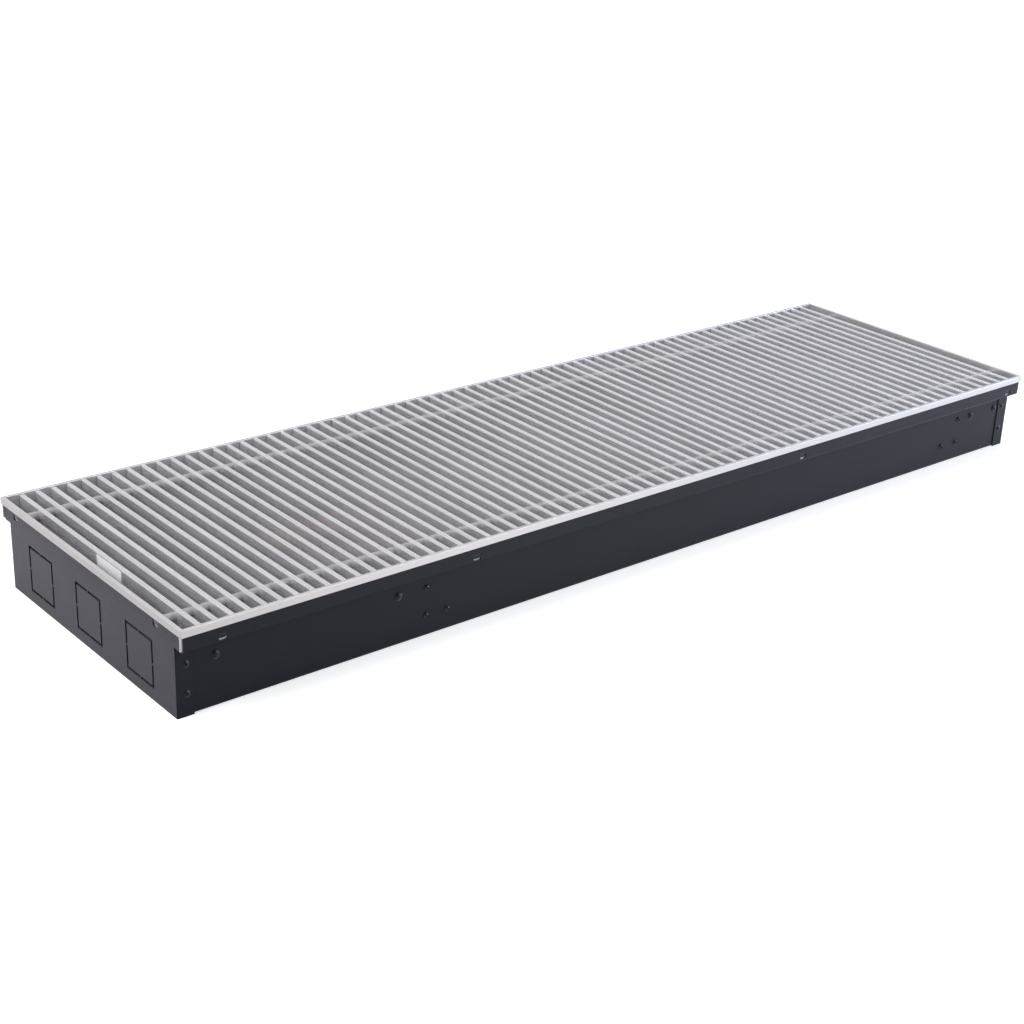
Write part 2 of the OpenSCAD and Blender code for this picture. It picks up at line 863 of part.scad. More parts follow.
module bleed_screw() {
    head_z = boss_top + bleed_hex_l + butt_gap;
    color(zinc) translate([bleed_x, -tube_dy / 2, 0]) difference() {
        union() {
            translate([0, 0, head_z - bleed_pin_l]) cylinder(r = bleed_pin_r, h = bleed_pin_l + eps);
            translate([0, 0, head_z]) cylinder(r = bleed_head_r, h = bleed_head_l);
        }
        translate([-bleed_head_r - 1, -cross_w / 2, head_z + bleed_head_l / 2])
            cube([2 * bleed_head_r + 2, cross_w, bleed_head_l]);
    }
}

// A low dome that rises from Z 0
module dome(d, h) {
    ball_r = (h * h + d * d / 4) / (2 * h);
    intersection() {
        translate([0, 0, h - ball_r]) sphere(r = ball_r);
        cylinder(d = d + 1, h = h + 1);
    }
}

module pan_screw(grip) {
    difference() {
        union() {
            dome(screw_head_d, screw_head_h);
            translate([0, 0, -grip - screw_tail]) cylinder(d = screw_d, h = grip + screw_tail + eps);
        }
        for (a = [0, 90]) rotate(a) translate([-screw_head_d / 4, -cross_w / 2, screw_head_h - cross_depth])
            cube([screw_head_d / 2, cross_w, cross_depth + 1]);
    }
}

// A rivet with its head outside and its upset tail behind the sheets that it grips
module dome_rivet(head_d, head_h, grip, hollow) {
    difference() {
        union() {
            dome(head_d, head_h);
            translate([0, 0, -grip - eps]) cylinder(d = rivet_d, h = grip + 2 * eps);
            translate([0, 0, -grip - tail_h]) cylinder(d = tail_d, h = tail_h);
        }
        if (hollow) translate([0, 0, -grip]) cylinder(r = mandrel_r, h = grip + head_h + 1);
    }
}

module bracket_screws() {
    color(paint_black) both_sides() at_bracket_screws() pan_screw(sheet_t + bracket_t);
}

module bracket_rivets() {
    color(paint_black) both_sides() at_bracket_rivets()
        dome_rivet(dome_d, dome_h, sheet_t + bracket_t, false);
}

module levelling_rivets() {
    color(paint_black) both_sides() at_level_rivets()
        dome_rivet(dome_d, dome_h, sheet_t + level_t, false);
}

module end_panel_rivets() {
    color(paint_black) both_sides() at_end_rivets()
        dome_rivet(blind_head_d, rivet_head_h, 2 * sheet_t, true);
}

// Moves something made at the front wall to corner 1 left front, 2 left back, 3 right front or 4 right back
module at_level_corner(i) {
    translate([level_xs[floor((i - 1) / 2)], 0, 0]) mirror([0, 1 - i % 2, 0]) children();
}

module levelling_bracket(i) {
    outer = 2 * level_t;
    color(zinc) at_level_corner(i) difference() {
        along_x(level_plate_w) {
            strip(-wall_in + outer - eps, level_plate_z, -wall_in + level_plate_l, level_plate_z + level_t);
            translate([-wall_in + outer, level_plate_z + outer]) rotate(180) quarter_ring(outer, level_t);
            strip(-wall_in, level_plate_z + outer - eps, -wall_in + level_t, level_plate_top);
        }
        translate([0, -level_y, level_plate_z - 1]) cylinder(d = level_d + 6 * hole_play, h = level_t + 2);
        on_front(0, upper_z) fastener_hole(rivet_d, sheet_t + level_t);
    }
}

module levelling_nuts() {
    color(zinc) for (i = [1 : 4]) at_level_corner(i)
        translate([0, -level_y, level_plate_z + level_t]) difference() {
            cylinder(r = nut_af / 2 / cos(30), h = nut_h, $fn = 6);
            translate([0, 0, -1]) cylinder(d = level_d + 2 * shaft_play, h = nut_h + 2);
        }
}

module levelling_pad(i) {
    color(nylon_black) at_level_corner(i) translate([0, -level_y, pad_z]) difference() {
        cylinder(d = pad_d, h = pad_h);
        translate([0, 0, pad_h - tip_l]) cylinder(r = tip_r + shaft_play, h = tip_l + 1);
    }
}

module levelling_screw(i) {
    shoulder = pad_z + pad_h + hole_play;
    color(zinc) at_level_corner(i) translate([0, -level_y, 0]) difference() {
        union() {
            translate([0, 0, shoulder - tip_l]) cylinder(r = tip_r, h = tip_l + eps);
            translate([0, 0, shoulder]) cylinder(d = level_d, h = level_screw_top - shoulder);
        }
        translate([-level_d, -level_slot_w / 2, level_screw_top - level_slot_h])
            cube([2 * level_d, level_slot_w, level_slot_h + 1]);
    }
}

trough_shell();
end_panel_left();
end_panel_right();
frame_rail_front();
frame_rail_back();
frame_rail_left();
frame_rail_right();
seal_strip_front();
seal_strip_back();
grille_slats();
grille_rod_front();
grille_rod_back();
grille_spacers_front();
grille_spacers_back();
grille_rod_caps();
slat_label();
exchanger_fins();
exchanger_bracket_left();
exchanger_bracket_right();
tube_grommets();
flow_tube();
return_tube();
return_bend();
flow_union();
return_union();
bleed_valve_body();
bleed_screw();
bracket_screws();
bracket_rivets();
levelling_rivets();
end_panel_rivets();
levelling_bracket(1);  // levelling_bracket_1
levelling_bracket(2);  // levelling_bracket_2
levelling_bracket(3);  // levelling_bracket_3
levelling_bracket(4);  // levelling_bracket_4
levelling_nuts();
levelling_pad(1);  // levelling_pad_1
levelling_pad(2);  // levelling_pad_2
levelling_pad(3);  // levelling_pad_3
levelling_pad(4);  // levelling_pad_4
levelling_screw(1);  // levelling_screw_1
levelling_screw(2);  // levelling_screw_2
levelling_screw(3);  // levelling_screw_3
levelling_screw(4);  // levelling_screw_4
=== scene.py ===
import math

import bmesh
import bpy
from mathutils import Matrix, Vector


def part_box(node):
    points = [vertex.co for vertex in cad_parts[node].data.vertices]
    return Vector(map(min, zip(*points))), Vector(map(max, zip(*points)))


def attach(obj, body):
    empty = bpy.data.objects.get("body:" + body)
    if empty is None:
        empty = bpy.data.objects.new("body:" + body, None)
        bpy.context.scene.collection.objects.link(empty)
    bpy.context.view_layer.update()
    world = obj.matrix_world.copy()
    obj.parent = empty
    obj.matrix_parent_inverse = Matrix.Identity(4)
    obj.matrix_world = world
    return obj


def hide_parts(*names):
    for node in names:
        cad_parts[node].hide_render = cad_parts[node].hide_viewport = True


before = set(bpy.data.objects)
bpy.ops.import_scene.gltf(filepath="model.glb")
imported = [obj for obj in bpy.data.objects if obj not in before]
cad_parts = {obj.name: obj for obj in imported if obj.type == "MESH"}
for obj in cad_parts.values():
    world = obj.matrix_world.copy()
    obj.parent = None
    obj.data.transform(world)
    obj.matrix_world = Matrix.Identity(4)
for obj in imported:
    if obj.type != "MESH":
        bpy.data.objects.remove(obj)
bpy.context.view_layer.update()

# --- Folded trough and its end panels ---------------------------------------------------------------
# The trough and both end panels are 1 mm steel sheet, punched, folded and riveted at the corners.
# They are powder coated black after folding. The coat is satin, with a fine orange peel, and the
# long flat walls are never quite flat, so reflections waver along them.

COAT_BLACK = (0.0018, 0.0038, 0.0095, 1)
COAT_ROUGHNESS = 0.45
COAT_IOR = 1.35
COAT_HAZE = 1.0
COAT_HAZE_SPREAD = 0.35
COAT_HAZE_TINT = (0.90, 0.86, 0.96, 1)
FOLD_OUT = 0.1469
FOLD_LOW = 0.0592
FOLD_HIGH = 0.0614
FOLD_LEAN = 0.35
COAT_RELIEF = 0.001
PEEL_PER_METRE = 750
PEEL_HEIGHT = 0.006
WAVE_PER_METRE = 7
WAVE_HEIGHT = 0.9
MARKS_PER_METRE = 38.0
FLECKS_PER_METRE = 2300.0
FLECK_COLOUR = (0.4, 0.4, 0.46, 1)
FLECK_SHARE = 0.012


def new_group(name, inputs, outputs):
    """An empty node group with named float, colour or vector sockets."""
    group = bpy.data.node_groups.new(name, "ShaderNodeTree")
    kinds = {"value": "NodeSocketFloat", "colour": "NodeSocketColor", "vector": "NodeSocketVector"}
    for label, kind, start in inputs:
        socket = group.interface.new_socket(label, in_out="INPUT", socket_type=kinds[kind])
        if start is not None:
            socket.default_value = start
    for label, kind in outputs:
        group.interface.new_socket(label, in_out="OUTPUT", socket_type=kinds[kind])
    return group, group.nodes.new("NodeGroupInput"), group.nodes.new("NodeGroupOutput")


def put(tree, kind, settings=(), **sockets):
    """A node of that kind. Sockets are set by name; one given as a socket is linked."""
    node = tree.nodes.new(kind)
    for key, value in dict(settings).items():
        setattr(node, key, value)
    for key, value in sockets.items():
        by_number = key[0] == "i" and key[1:].isdigit()
        socket = node.inputs[int(key[1:]) if by_number else key.replace("_", " ")]
        if isinstance(value, bpy.types.NodeSocket):
            tree.links.new(value, socket)
        else:
            socket.default_value = value
    return node


def maths(tree, operation, a, b=0.0):
    """The value a (operation) b."""
    return put(tree, "ShaderNodeMath", {"operation": operation}, i0=a, i1=b).outputs[0]


def spread(tree, value, low, high, out_low, out_high):
    """value moved from the range low to high onto the range out_low to out_high."""
    sockets = {"Value": value, "From_Min": low, "From_Max": high, "To_Min": out_low, "To_Max": out_high}
    return put(tree, "ShaderNodeMapRange", **sockets).outputs[0]


def noise(tree, place, scale, detail=2.0, roughness=0.5):
    """A noise value between about 0.3 and 0.7 at that place."""
    sockets = {"Vector": place, "Scale": scale, "Detail": detail, "Roughness": roughness}
    return put(tree, "ShaderNodeTexNoise", **sockets).outputs["Fac"]


def stretched(tree, place, x, y, z):
    """place with each axis multiplied."""
    return put(tree, "ShaderNodeMapping", Vector=place, Scale=(x, y, z)).outputs[0]


def tinted(tree, base, other, amount):
    """base mixed towards other by amount."""
    mix = put(tree, "ShaderNodeMix", {"data_type": "RGBA"}, i0=amount)
    for socket, colour in ((mix.inputs[6], base), (mix.inputs[7], other)):
        if isinstance(colour, bpy.types.NodeSocket):
            tree.links.new(colour, socket)
        else:
            socket.default_value = colour
    return mix.outputs[2]


def coat_group():
    """Powder coat: colour, roughness and height from peel, handling marks and wavy sheet."""
    group, given, result = new_group(
        "powder coat",
        [("Place", "vector", None), ("Coat", "colour", (0.01, 0.01, 0.01, 1)), ("Roughness", "value", 0.4),
         ("Peel", "value", 700.0), ("Wave", "value", 7.0)],
        [("Color", "colour"), ("Roughness", "value"), ("Height", "value")])
    place = given.outputs["Place"]
    peel = noise(group, place, given.outputs["Peel"], 3.0, 0.6)
    wave = noise(group, stretched(group, place, 1, 1, 1.6), given.outputs["Wave"], 1.0)
    marks = noise(group, stretched(group, place, 1, 1, 3.0), MARKS_PER_METRE, 5.0, 0.62)
    flecks = noise(group, place, FLECKS_PER_METRE, 1.0)
    paler = put(group, "ShaderNodeMix", {"data_type": "RGBA", "blend_type": "ADD"}, i0=FLECK_SHARE)
    group.links.new(given.outputs["Coat"], paler.inputs[6])
    paler.inputs[7].default_value = FLECK_COLOUR
    handled = maths(group, "MULTIPLY", spread(group, marks, 0.45, 0.75, 0, 0.7),
                    spread(group, flecks, 0.4, 0.7, 0.4, 1.0))
    colour = tinted(group, given.outputs["Coat"], paler.outputs[2], handled)
    rough = maths(group, "ADD", given.outputs["Roughness"], spread(group, marks, 0.3, 0.7, -0.045, 0.06))
    rough = maths(group, "ADD", rough, spread(group, peel, 0.35, 0.65, -0.02, 0.02))
    height = maths(group, "ADD", maths(group, "MULTIPLY", peel, PEEL_HEIGHT),
                   maths(group, "MULTIPLY", wave, WAVE_HEIGHT))
    group.links.new(colour, result.inputs["Color"])
    group.links.new(rough, result.inputs["Roughness"])
    group.links.new(height, result.inputs["Height"])
    return group


COAT_GROUP = coat_group()


def new_finish(name):
    """A material with its node tree, its Principled shader and the point on the piece."""
    finish = bpy.data.materials.new(name)
    finish.use_nodes = True
    tree = finish.node_tree
    shader = tree.nodes["Principled BSDF"]
    place = tree.nodes.new("ShaderNodeTexCoord").outputs["Object"]
    return finish, tree, shader, place


def raised(tree, shader, height, distance, facing=None):
    """Feeds a height into the shader's normal, as a relief of that depth in metres."""
    bump = put(tree, "ShaderNodeBump", Distance=distance, Height=height)
    if facing:
        tree.links.new(facing, bump.inputs["Normal"])
    tree.links.new(bump.outputs[0], shader.inputs["Normal"])


def crisp_fold(tree, place):
    """The normal, with the fold under each long lip as sharp as a press brake leaves it."""
    spot = put(tree, "ShaderNodeSeparateXYZ", Vector=place)
    outside = maths(tree, "GREATER_THAN", maths(tree, "ABSOLUTE", spot.outputs["Y"]), FOLD_OUT)
    above = maths(tree, "GREATER_THAN", spot.outputs["Z"], FOLD_LOW)
    below = maths(tree, "LESS_THAN", spot.outputs["Z"], FOLD_HIGH)
    on_fold = maths(tree, "MULTIPLY", outside, maths(tree, "MULTIPLY", above, below))
    normal = tree.nodes.new("ShaderNodeNewGeometry").outputs["Normal"]
    part = put(tree, "ShaderNodeSeparateXYZ", Vector=normal)
    upward = put(tree, "ShaderNodeMix", i0=on_fold, i2=part.outputs["Z"], i3=FOLD_LEAN).outputs[0]
    turned = put(tree, "ShaderNodeCombineXYZ", X=part.outputs["X"], Y=part.outputs["Y"], Z=upward).outputs[0]
    return put(tree, "ShaderNodeVectorMath", {"operation": "NORMALIZE"}, i0=turned).outputs[0]


def coated_steel(name, coat, roughness, ior, haze):
    """Powder coated steel. haze is how much the coat pales at a shallow angle."""
    finish, tree, shader, place = new_finish(name)
    coat_node = put(tree, "ShaderNodeGroup", {"node_tree": COAT_GROUP}, Place=place, Coat=coat,
                    Roughness=roughness, Peel=PEEL_PER_METRE, Wave=WAVE_PER_METRE)
    tree.links.new(coat_node.outputs["Color"], shader.inputs["Base Color"])
    tree.links.new(coat_node.outputs["Roughness"], shader.inputs["Roughness"])
    shader.inputs["IOR"].default_value = ior
    shader.inputs["Sheen Weight"].default_value = haze
    shader.inputs["Sheen Roughness"].default_value = COAT_HAZE_SPREAD
    shader.inputs["Sheen Tint"].default_value = COAT_HAZE_TINT
    raised(tree, shader, coat_node.outputs["Height"], COAT_RELIEF, crisp_fold(tree, place))
    return finish


def dress(finish, *names):
    """Gives these CAD nodes that material."""
    for name in names:
        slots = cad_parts[name].data.materials
        slots.clear()
        slots.append(finish)


black_coat = coated_steel("black powder coat", COAT_BLACK, COAT_ROUGHNESS, COAT_IOR, COAT_HAZE)
dress(black_coat, "trough_shell", "end_panel_left", "end_panel_right")

# --- Rivets and screws of the trough -----------------------------------------------------------------
# Blind rivets close the corners, domed ones hold the brackets, and pan head screws clamp the
# exchanger's saddles. The rivets went through the coating line with the trough. The screws went in
# later, with a glossy black finish of their own.

RIVET_BLACK = (0.004, 0.005, 0.009, 1)
RIVET_ROUGHNESS = 0.38
RIVET_IOR = 1.45
RIVET_HAZE = 0.4
PAN_HEAD_BLACK = (0.005, 0.005, 0.007, 1)
PAN_HEAD_ROUGHNESS = 0.17
PAN_HEAD_IOR = 1.6
PAN_HEAD_HAZE = 0.2

rivet_coat = coated_steel("coated rivet", RIVET_BLACK, RIVET_ROUGHNESS, RIVET_IOR, RIVET_HAZE)
dress(rivet_coat, "bracket_rivets", "levelling_rivets", "end_panel_rivets")
pan_head = coated_steel("glossy black screw", PAN_HEAD_BLACK, PAN_HEAD_ROUGHNESS, PAN_HEAD_IOR, PAN_HEAD_HAZE)
dress(pan_head, "bracket_screws")

# --- Rim ----------------------------------------------------------------------------------------------
# Four lengths of one extruded aluminium section, mitred at the corners and pushed over the sheet
# edges, where the punched tongues hold them. They are satin anodised: the die's fine lines run along
# each length.

RIM_METAL = (0.83, 0.815, 0.82, 1)
RIM_ROUGHNESS = 0.38
RIM_SHEEN = 0.84
RIM_LINES = 0.6
RIM_RELIEF = 0.000006
LINES_ALONG_X = (0.01, 1, 1)
LINES_ALONG_Y = (1, 0.01, 1)
FINE_LINES_PER_METRE = 1400.0
BROAD_LINES_PER_METRE = 260.0
CLOUDS_PER_METRE = 26.0
PITS_PER_METRE = 3600.0


def die_line_group():
    """Drawn or extruded metal: streaks along one axis, clouds in the anodising, fine pits."""
    group, given, result = new_group(
        "die lines",
        [("Place", "vector", None), ("Along", "vector", (1.0, 1.0, 1.0)),
         ("Metal", "colour", (0.8, 0.8, 0.8, 1)), ("Roughness", "value", 0.35), ("Depth", "value", 1.0)],
        [("Color", "colour"), ("Roughness", "value"), ("Height", "value")])
    run = put(group, "ShaderNodeVectorMath", {"operation": "MULTIPLY"}, i0=given.outputs["Place"],
              i1=given.outputs["Along"]).outputs[0]
    fine = noise(group, run, FINE_LINES_PER_METRE, 2.0, 0.7)
    broad = noise(group, run, BROAD_LINES_PER_METRE, 2.0, 0.5)
    clouds = noise(group, given.outputs["Place"], CLOUDS_PER_METRE, 3.0, 0.55)
    pits = noise(group, given.outputs["Place"], PITS_PER_METRE, 1.0)
    streak = maths(group, "ADD", maths(group, "MULTIPLY", fine, 0.6), maths(group, "MULTIPLY", broad, 0.4))
    shade = spread(group, maths(group, "ADD", maths(group, "MULTIPLY", streak, 0.55),
                                maths(group, "MULTIPLY", clouds, 0.45)), 0.3, 0.7, 0.965, 1.025)
    darker = put(group, "ShaderNodeVectorMath", {"operation": "SCALE"}, i0=given.outputs["Metal"],
                 Scale=shade).outputs[0]
    rough = maths(group, "ADD", given.outputs["Roughness"], spread(group, streak, 0.35, 0.65, -0.03, 0.03))
    rough = maths(group, "ADD", rough, spread(group, clouds, 0.35, 0.65, -0.02, 0.03))
    height = maths(group, "ADD", maths(group, "MULTIPLY", streak, given.outputs["Depth"]),
                   maths(group, "MULTIPLY", pits, 0.25))
    group.links.new(darker, result.inputs["Color"])
    group.links.new(rough, result.inputs["Roughness"])
    group.links.new(height, result.inputs["Height"])
    return group


DIE_LINES = die_line_group()


def drawn_metal(name, metal, roughness, along, depth=1.0, relief=0.00001, metallic=1.0):
    """A metal with streaks along one axis. along is small on that axis and 1 on the others."""
    finish, tree, shader, place = new_finish(name)
    lines = put(tree, "ShaderNodeGroup", {"node_tree": DIE_LINES}, Place=place, Along=along, Metal=metal,
                Roughness=roughness, Depth=depth)
    tree.links.new(lines.outputs["Color"], shader.inputs["Base Color"])
    tree.links.new(lines.outputs["Roughness"], shader.inputs["Roughness"])
    shader.inputs["Metallic"].default_value = metallic
    raised(tree, shader, lines.outputs["Height"], relief)
    return finish


rim_along = drawn_metal("rim along the trench", RIM_METAL, RIM_ROUGHNESS, LINES_ALONG_X,
                        RIM_LINES, RIM_RELIEF, RIM_SHEEN)
rim_across = drawn_metal("rim across the trench", RIM_METAL, RIM_ROUGHNESS, LINES_ALONG_Y,
                         RIM_LINES, RIM_RELIEF, RIM_SHEEN)
dress(rim_along, "frame_rail_front", "frame_rail_back")
dress(rim_across, "frame_rail_left", "frame_rail_right")

# --- Rubber strips ------------------------------------------------------------------------------------
# Flat strips of black EPDM glued on the steps. The slat ends lie on them, which keeps the grille
# quiet underfoot. The same rubber makes the grommets round the tubes.

RUBBER_BLACK = (0.012, 0.012, 0.012, 1)
RUBBER_BLOOM = (0.05, 0.05, 0.052, 1)
BLOOM_PER_METRE = 90.0
RUBBER_GRAIN_PER_METRE = 2600.0
RUBBER_RELIEF = 0.00004


def rubber_finish():
    """Black rubber, chalky where it has bloomed."""
    finish, tree, shader, place = new_finish("black rubber")
    bloom = noise(tree, place, BLOOM_PER_METRE, 5.0, 0.6)
    grain = noise(tree, place, RUBBER_GRAIN_PER_METRE, 2.0)
    chalky = spread(tree, bloom, 0.4, 0.75, 0, 0.8)
    tree.links.new(tinted(tree, RUBBER_BLACK, RUBBER_BLOOM, chalky), shader.inputs["Base Color"])
    tree.links.new(spread(tree, bloom, 0.3, 0.7, 0.62, 0.82), shader.inputs["Roughness"])
    raised(tree, shader, grain, RUBBER_RELIEF)
    return finish


dress(rubber_finish(), "seal_strip_front", "seal_strip_back", "tube_grommets")

# --- Grille slats -------------------------------------------------------------------------------------
# Solid aluminium profiles, cut to length, drilled twice and anodised as a batch. Each bar takes the
# bath a little differently, so neighbours differ slightly in shade and gloss. The die lines run along
# the bars, across the trench.

SLAT_METAL = (0.91, 0.90, 0.925, 1)
SLAT_ROUGHNESS = 0.26
SLAT_SHEEN = 0.75
SLAT_RELIEF = 0.00001
SLAT_LINES_ALONG = (1, 0.012, 1)
DULLEST_SLAT = 0.955
BRIGHTEST_SLAT = 1.02
SLAT_GLOSS_CHANGE = 0.02
slat_low, slat_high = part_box("grille_slats")
SLAT_COUNT = 68
SLAT_WIDTH = 0.0048
slat_pitch = (slat_high.x - slat_low.x - SLAT_WIDTH) / (SLAT_COUNT - 1)


def slat_finish():
    """Anodised aluminium with die lines, where each slat has its own shade and gloss."""
    finish, tree, shader, place = new_finish("slat anodising")
    across = put(tree, "ShaderNodeSeparateXYZ", Vector=place).outputs["X"]
    past_first = maths(tree, "SUBTRACT", across, slat_low.x - slat_pitch / 4)
    number = maths(tree, "FLOOR", maths(tree, "DIVIDE", past_first, slat_pitch))
    chance = put(tree, "ShaderNodeTexWhiteNoise", {"noise_dimensions": "1D"}, W=number).outputs["Value"]
    lines = put(tree, "ShaderNodeGroup", {"node_tree": DIE_LINES}, Place=place, Along=SLAT_LINES_ALONG,
                Metal=SLAT_METAL, Roughness=SLAT_ROUGHNESS, Depth=1.0)
    batch = put(tree, "ShaderNodeVectorMath", {"operation": "SCALE"}, i0=lines.outputs["Color"],
                Scale=spread(tree, chance, 0, 1, DULLEST_SLAT, BRIGHTEST_SLAT)).outputs[0]
    tree.links.new(batch, shader.inputs["Base Color"])
    duller = spread(tree, chance, 0, 1, -SLAT_GLOSS_CHANGE, SLAT_GLOSS_CHANGE)
    tree.links.new(maths(tree, "ADD", lines.outputs["Roughness"], duller), shader.inputs["Roughness"])
    shader.inputs["Metallic"].default_value = SLAT_SHEEN
    raised(tree, shader, lines.outputs["Height"], SLAT_RELIEF)
    return finish


dress(slat_finish(), "grille_slats")

# --- Rods, spacer sleeves and end caps -----------------------------------------------------------------
# Two steel wires run through the slats. Light grey moulded sleeves on them hold the slats apart, and
# longer blind ones close the ends against the rim.

SLEEVE_GREY = (0.30, 0.294, 0.30, 1)
SLEEVE_LIGHT = (0.37, 0.363, 0.37, 1)
SLEEVE_FLOW_PER_METRE = 180.0
SLEEVE_GRAIN_PER_METRE = 1900.0
SLEEVE_RELIEF = 0.00002
WIRE_STEEL = (0.52, 0.51, 0.5, 1)
WIRE_ROUGHNESS = 0.28


def moulded_grey():
    """Moulded plastic, with the swirl of its flow and a fine grain."""
    finish, tree, shader, place = new_finish("grey moulded sleeve")
    flow = noise(tree, place, SLEEVE_FLOW_PER_METRE, 4.0, 0.6)
    grain = noise(tree, place, SLEEVE_GRAIN_PER_METRE, 2.0)
    swirl = spread(tree, flow, 0.35, 0.65, 0, 1)
    tree.links.new(tinted(tree, SLEEVE_GREY, SLEEVE_LIGHT, swirl), shader.inputs["Base Color"])
    tree.links.new(spread(tree, flow, 0.3, 0.7, 0.22, 0.32), shader.inputs["Roughness"])
    raised(tree, shader, grain, SLEEVE_RELIEF)
    return finish


dress(moulded_grey(), "grille_spacers_front", "grille_spacers_back", "grille_rod_caps")
wire = drawn_metal("drawn wire", WIRE_STEEL, WIRE_ROUGHNESS, LINES_ALONG_X)
dress(wire, "grille_rod_front", "grille_rod_back")

# --- Label --------------------------------------------------------------------------------------------
# A small film label on the outer side of the first slat. It is left blank: cool white film with a
# faint gloss and slightly lifted edges.

FILM_WHITE = (0.96, 0.97, 0.99, 1)
FILM_BRIGHT = (0.99, 0.99, 1, 1)
FILM_CUT = (0.62, 0.66, 0.72, 1)
FILM_CUT_SHARE = 0.2
FILM_CUT_SIDE = 0.0004
FILM_CUT_TOP = 0.0003
FIBRES_PER_METRE = 900.0
FILM_RELIEF = 0.00001


def blank_film():
    """White film with a greyer cut edge."""
    finish, tree, shader, place = new_finish("blank label film")
    low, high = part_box("slat_label")
    spot = put(tree, "ShaderNodeSeparateXYZ", Vector=place)
    edge_y = maths(tree, "ABSOLUTE", maths(tree, "SUBTRACT", spot.outputs["Y"], (low.y + high.y) / 2))
    edge_z = maths(tree, "ABSOLUTE", maths(tree, "SUBTRACT", spot.outputs["Z"], (low.z + high.z) / 2))
    half_y = (high.y - low.y) / 2
    half_z = (high.z - low.z) / 2
    border = maths(tree, "MAXIMUM", spread(tree, edge_y, half_y - FILM_CUT_SIDE, half_y, 0, 1),
                   spread(tree, edge_z, half_z - FILM_CUT_TOP, half_z, 0, 1))
    fibres = noise(tree, place, FIBRES_PER_METRE, 3.0)
    paper = tinted(tree, FILM_WHITE, FILM_BRIGHT, spread(tree, fibres, 0.35, 0.65, 0, 1))
    greyer = maths(tree, "MULTIPLY", border, FILM_CUT_SHARE)
    tree.links.new(tinted(tree, paper, FILM_CUT, greyer), shader.inputs["Base Color"])
    tree.links.new(spread(tree, fibres, 0.3, 0.7, 0.3, 0.4), shader.inputs["Roughness"])
    raised(tree, shader, maths(tree, "SUBTRACT", fibres, border), FILM_RELIEF)
    return finish


dress(blank_film(), "slat_label")

# --- Heat exchanger -----------------------------------------------------------------------------------
# Thin aluminium plates are threaded on two copper tubes, and their drawn collars set the pitch. A
# return bend is brazed on at the free end, and two brass unions at the other. Flame, flux and hands
# have left clouds of tarnish on the copper and the brass.

FIN_DULL = (0.74, 0.75, 0.76, 1)
FIN_BRIGHT = (0.84, 0.85, 0.86, 1)
FIN_SHEEN = 0.4
FIN_RIPPLES = 55.0
FIN_RELIEF = 0.0004
OIL_PER_METRE = 60.0
COPPER_CLEAN = (0.86, 0.45, 0.29, 1)
COPPER_DULL = (0.40, 0.19, 0.12, 1)
COPPER_ROUGHNESS = 0.24
TUBE_LINES_ALONG = (0.02, 1, 1)
BRASS_CLEAN = (0.80, 0.62, 0.30, 1)
BRASS_DULL = (0.48, 0.34, 0.15, 1)
BRASS_ROUGHNESS = 0.22
TURNED_LINES_ROUND = (1, 0.1, 0.1)
TARNISH_PER_METRE = 34.0
SPOTS_PER_METRE = 240.0
TARNISH_DULLS = 0.2
TARNISH_RELIEF = 0.000012


def fin_sheet():
    """Thin rippled aluminium, duller where a film of press oil is left."""
    finish, tree, shader, place = new_finish("fin aluminium")
    ripple = put(tree, "ShaderNodeTexWave", {"wave_type": "BANDS", "bands_direction": "Y"}, Vector=place,
                 Scale=FIN_RIPPLES, Distortion=0.4, Detail=1.0).outputs["Fac"]
    oil = noise(tree, place, OIL_PER_METRE, 4.0, 0.6)
    dry = spread(tree, oil, 0.35, 0.65, 0, 1)
    tree.links.new(tinted(tree, FIN_DULL, FIN_BRIGHT, dry), shader.inputs["Base Color"])
    tree.links.new(spread(tree, oil, 0.3, 0.7, 0.28, 0.45), shader.inputs["Roughness"])
    shader.inputs["Metallic"].default_value = FIN_SHEEN
    height = maths(tree, "ADD", maths(tree, "MULTIPLY", ripple, 0.7), maths(tree, "MULTIPLY", oil, 0.3))
    raised(tree, shader, height, FIN_RELIEF)
    return finish


def tarnished(name, clean, dull, roughness, along):
    """Copper or brass: drawn lines, with clouds of tarnish."""
    finish, tree, shader, place = new_finish(name)
    clouds = noise(tree, place, TARNISH_PER_METRE, 6.0, 0.62)
    spots = noise(tree, place, SPOTS_PER_METRE, 3.0, 0.6)
    tarnish = maths(tree, "MULTIPLY", spread(tree, clouds, 0.42, 0.68, 0, 1),
                    spread(tree, spots, 0.3, 0.65, 0.45, 1))
    metal = tinted(tree, clean, dull, tarnish)
    lines = put(tree, "ShaderNodeGroup", {"node_tree": DIE_LINES}, Place=place, Along=along,
                Metal=metal, Roughness=roughness, Depth=1.0)
    tree.links.new(lines.outputs["Color"], shader.inputs["Base Color"])
    duller = maths(tree, "MULTIPLY", tarnish, TARNISH_DULLS)
    tree.links.new(maths(tree, "ADD", lines.outputs["Roughness"], duller), shader.inputs["Roughness"])
    shader.inputs["Metallic"].default_value = 1.0
    raised(tree, shader, lines.outputs["Height"], TARNISH_RELIEF)
    return finish


dress(fin_sheet(), "exchanger_fins")
dress(tarnished("copper tube", COPPER_CLEAN, COPPER_DULL, COPPER_ROUGHNESS, TUBE_LINES_ALONG),
      "flow_tube", "return_tube", "return_bend")
dress(tarnished("turned brass", BRASS_CLEAN, BRASS_DULL, BRASS_ROUGHNESS, TURNED_LINES_ROUND),
      "flow_union", "return_union", "bleed_valve_body")

# --- Saddles, levelling brackets and screws -------------------------------------------------------------
# Zinc plated steel: pressed brackets, hexagon nuts, M8 levelling screws with a slotted end, and the
# bleed screw. The plating is passivated, so it is faintly blue with straw coloured patches.

